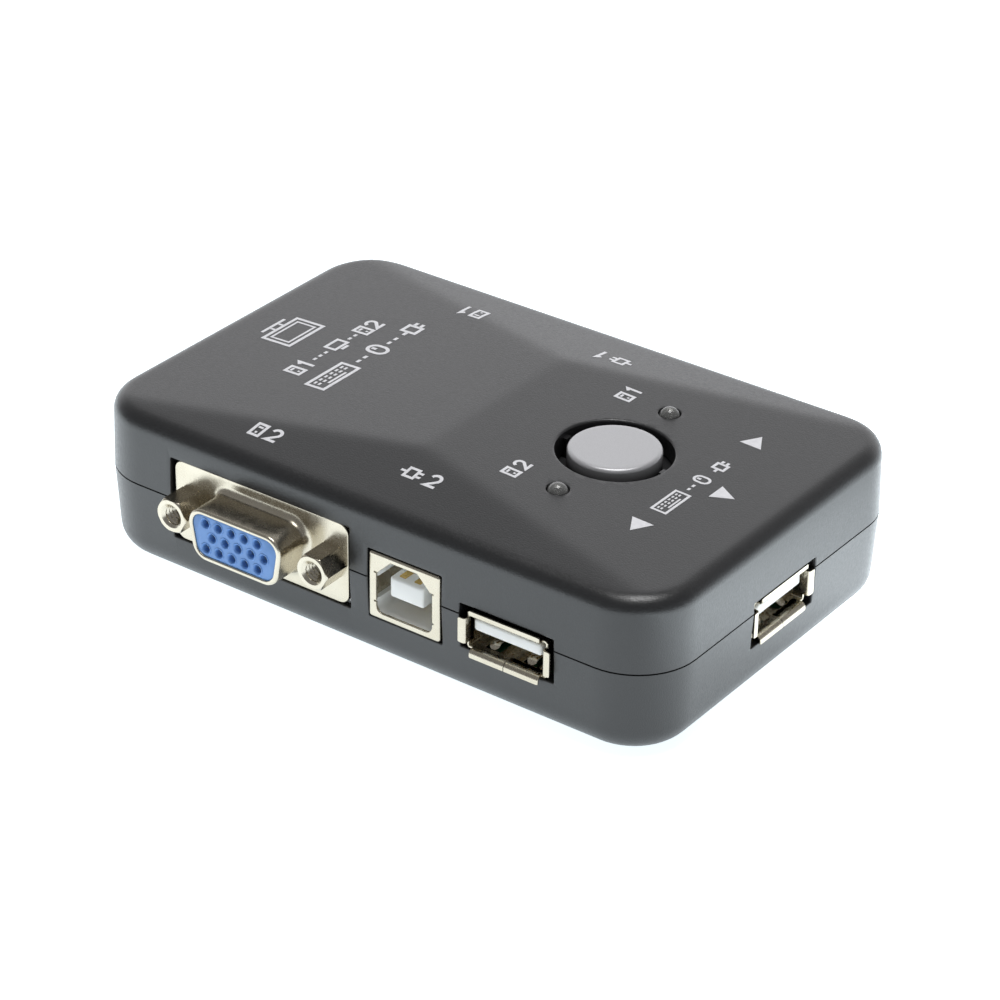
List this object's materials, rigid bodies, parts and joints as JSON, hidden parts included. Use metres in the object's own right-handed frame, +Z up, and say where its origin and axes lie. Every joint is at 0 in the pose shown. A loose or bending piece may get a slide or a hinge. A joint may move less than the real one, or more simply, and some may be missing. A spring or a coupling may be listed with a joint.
{
  "type": "kvm switch",
  "caption": "Desktop box that switches a monitor, keyboard and mouse between computers, with a push button, indicator lights, and video and USB sockets round its sides.",
  "frame": {"origin": "on the surface the box stands on, under the middle of the whole object's bounding box", "axes": "+X along the case towards the end with the single USB socket, -Y towards the long side for computer 2, +Z up out of the top cover"},
  "size_m": [0.1026, 0.0732, 0.0263],
  "materials": {
    "case_plastic": "fine matte spark texture, near-black grey moulded ABS",
    "zinc_steel": "bright zinc plate",
    "silver_paint": "satin silver paint on moulded plastic",
    "black_plastic": "plain moulded",
    "spring_steel": "drawn wire",
    "tinned_steel": "tin plate",
    "switch_plastic": "plain moulded",
    "clear_lens": "clear cast epoxy, slightly smoky",
    "board_laminate": "green solder mask over glass laminate",
    "chip_body": "moulded epoxy",
    "capacitor_sleeve": "printed sleeve over a can",
    "chip_ceramic": "fired ceramic with tinned ends",
    "nickel_plate": "bright nickel plate, warm, lightly uneven",
    "blue_plastic": "satin moulded",
    "white_plastic": "satin moulded",
    "gold_plate": "gold flash over copper alloy"
  },
  "bodies": {
    "case": {"top_cover": "case_plastic", "bottom_cover": "case_plastic", "case_screws": "zinc_steel", "switch_spring": "spring_steel", "switch_cover": "tinned_steel", "switch_housing": "switch_plastic", "switch_pins": "tinned_steel", "light_1": "clear_lens", "light_2": "clear_lens", "light_leads": "tinned_steel", "circuit_board": "board_laminate", "video_switch_chips": "chip_body", "usb_hub_chip": "chip_body", "control_chip": "chip_body", "crystal": "tinned_steel", "electrolytic_capacitors": "capacitor_sleeve", "chip_capacitors": "chip_ceramic", "chip_resistors": "chip_body", "vga_1_shell": "nickel_plate", "vga_1_insulator": "blue_plastic", "vga_1_contacts": "gold_plate", "vga_1_jackscrews": "nickel_plate", "vga_1_bracket": "tinned_steel", "vga_2_shell": "nickel_plate", "vga_2_insulator": "blue_plastic", "vga_2_contacts": "gold_plate", "vga_2_jackscrews": "nickel_plate", "vga_2_bracket": "tinned_steel", "vga_out_shell": "nickel_plate", "vga_out_insulator": "blue_plastic", "vga_out_contacts": "gold_plate", "vga_out_jackscrews": "nickel_plate", "vga_out_bracket": "tinned_steel", "usb_pc_1_shell": "nickel_plate", "usb_pc_1_insulator": "white_plastic", "usb_pc_1_contacts": "gold_plate", "usb_pc_2_shell": "nickel_plate", "usb_pc_2_insulator": "white_plastic", "usb_pc_2_contacts": "gold_plate", "usb_side_1_shell": "nickel_plate", "usb_side_1_insulator": "white_plastic", "usb_side_1_contacts": "gold_plate", "usb_side_2_shell": "nickel_plate", "usb_side_2_insulator": "white_plastic", "usb_side_2_contacts": "gold_plate", "usb_end_shell": "nickel_plate", "usb_end_insulator": "white_plastic", "usb_end_contacts": "gold_plate"},
    "button": {"select_button": "silver_paint", "switch_plunger": "black_plastic"}
  },
  "joints": [
    {"name": "select_button_press", "type": "slide", "parent": "case", "child": "button", "axis": [0, 0, -1], "range_m": [0, 0.0012], "stiffness_N_per_m": 1200, "springref_m": -0.0004, "deforming": ["switch_spring"]}
  ]
}
